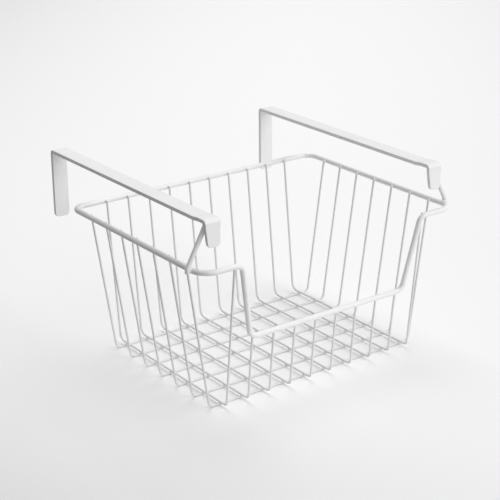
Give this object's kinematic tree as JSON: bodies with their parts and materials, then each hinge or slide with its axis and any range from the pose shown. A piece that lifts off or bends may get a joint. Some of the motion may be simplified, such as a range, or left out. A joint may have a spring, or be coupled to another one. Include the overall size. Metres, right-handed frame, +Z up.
{
  "type": "under shelf basket",
  "caption": "Open wire basket that hangs below a shelf from two flat straps laid over the shelf, with a dipped front rim to reach in over.",
  "frame": {"origin": "on the surface the basket stands on, below the middle of its whole width and length, legs of the straps included", "axes": "+Z up, +X towards the basket's right side seen from the front, -Y towards its dipped front, so the legs of the straps are at +Y"},
  "size_m": [0.3462, 0.317, 0.2145],
  "materials": {
    "white_powder_coat": "satin white powder coat on steel wire and flat bar"
  },
  "bodies": {
    "root": {"rim_wire": "white_powder_coat", "front_back_wire_01": "white_powder_coat", "front_back_wire_02": "white_powder_coat", "front_back_wire_03": "white_powder_coat", "front_back_wire_04": "white_powder_coat", "front_back_wire_05": "white_powder_coat", "front_back_wire_06": "white_powder_coat", "front_back_wire_07": "white_powder_coat", "front_back_wire_08": "white_powder_coat", "front_back_wire_09": "white_powder_coat", "front_back_wire_10": "white_powder_coat", "cross_wire_01": "white_powder_coat", "cross_wire_02": "white_powder_coat", "cross_wire_03": "white_powder_coat", "cross_wire_04": "white_powder_coat", "cross_wire_05": "white_powder_coat", "cross_wire_06": "white_powder_coat", "cross_wire_07": "white_powder_coat", "left_hanger_strap": "white_powder_coat", "right_hanger_strap": "white_powder_coat", "left_link_rod": "white_powder_coat", "right_link_rod": "white_powder_coat"}
  },
  "joints": []
}
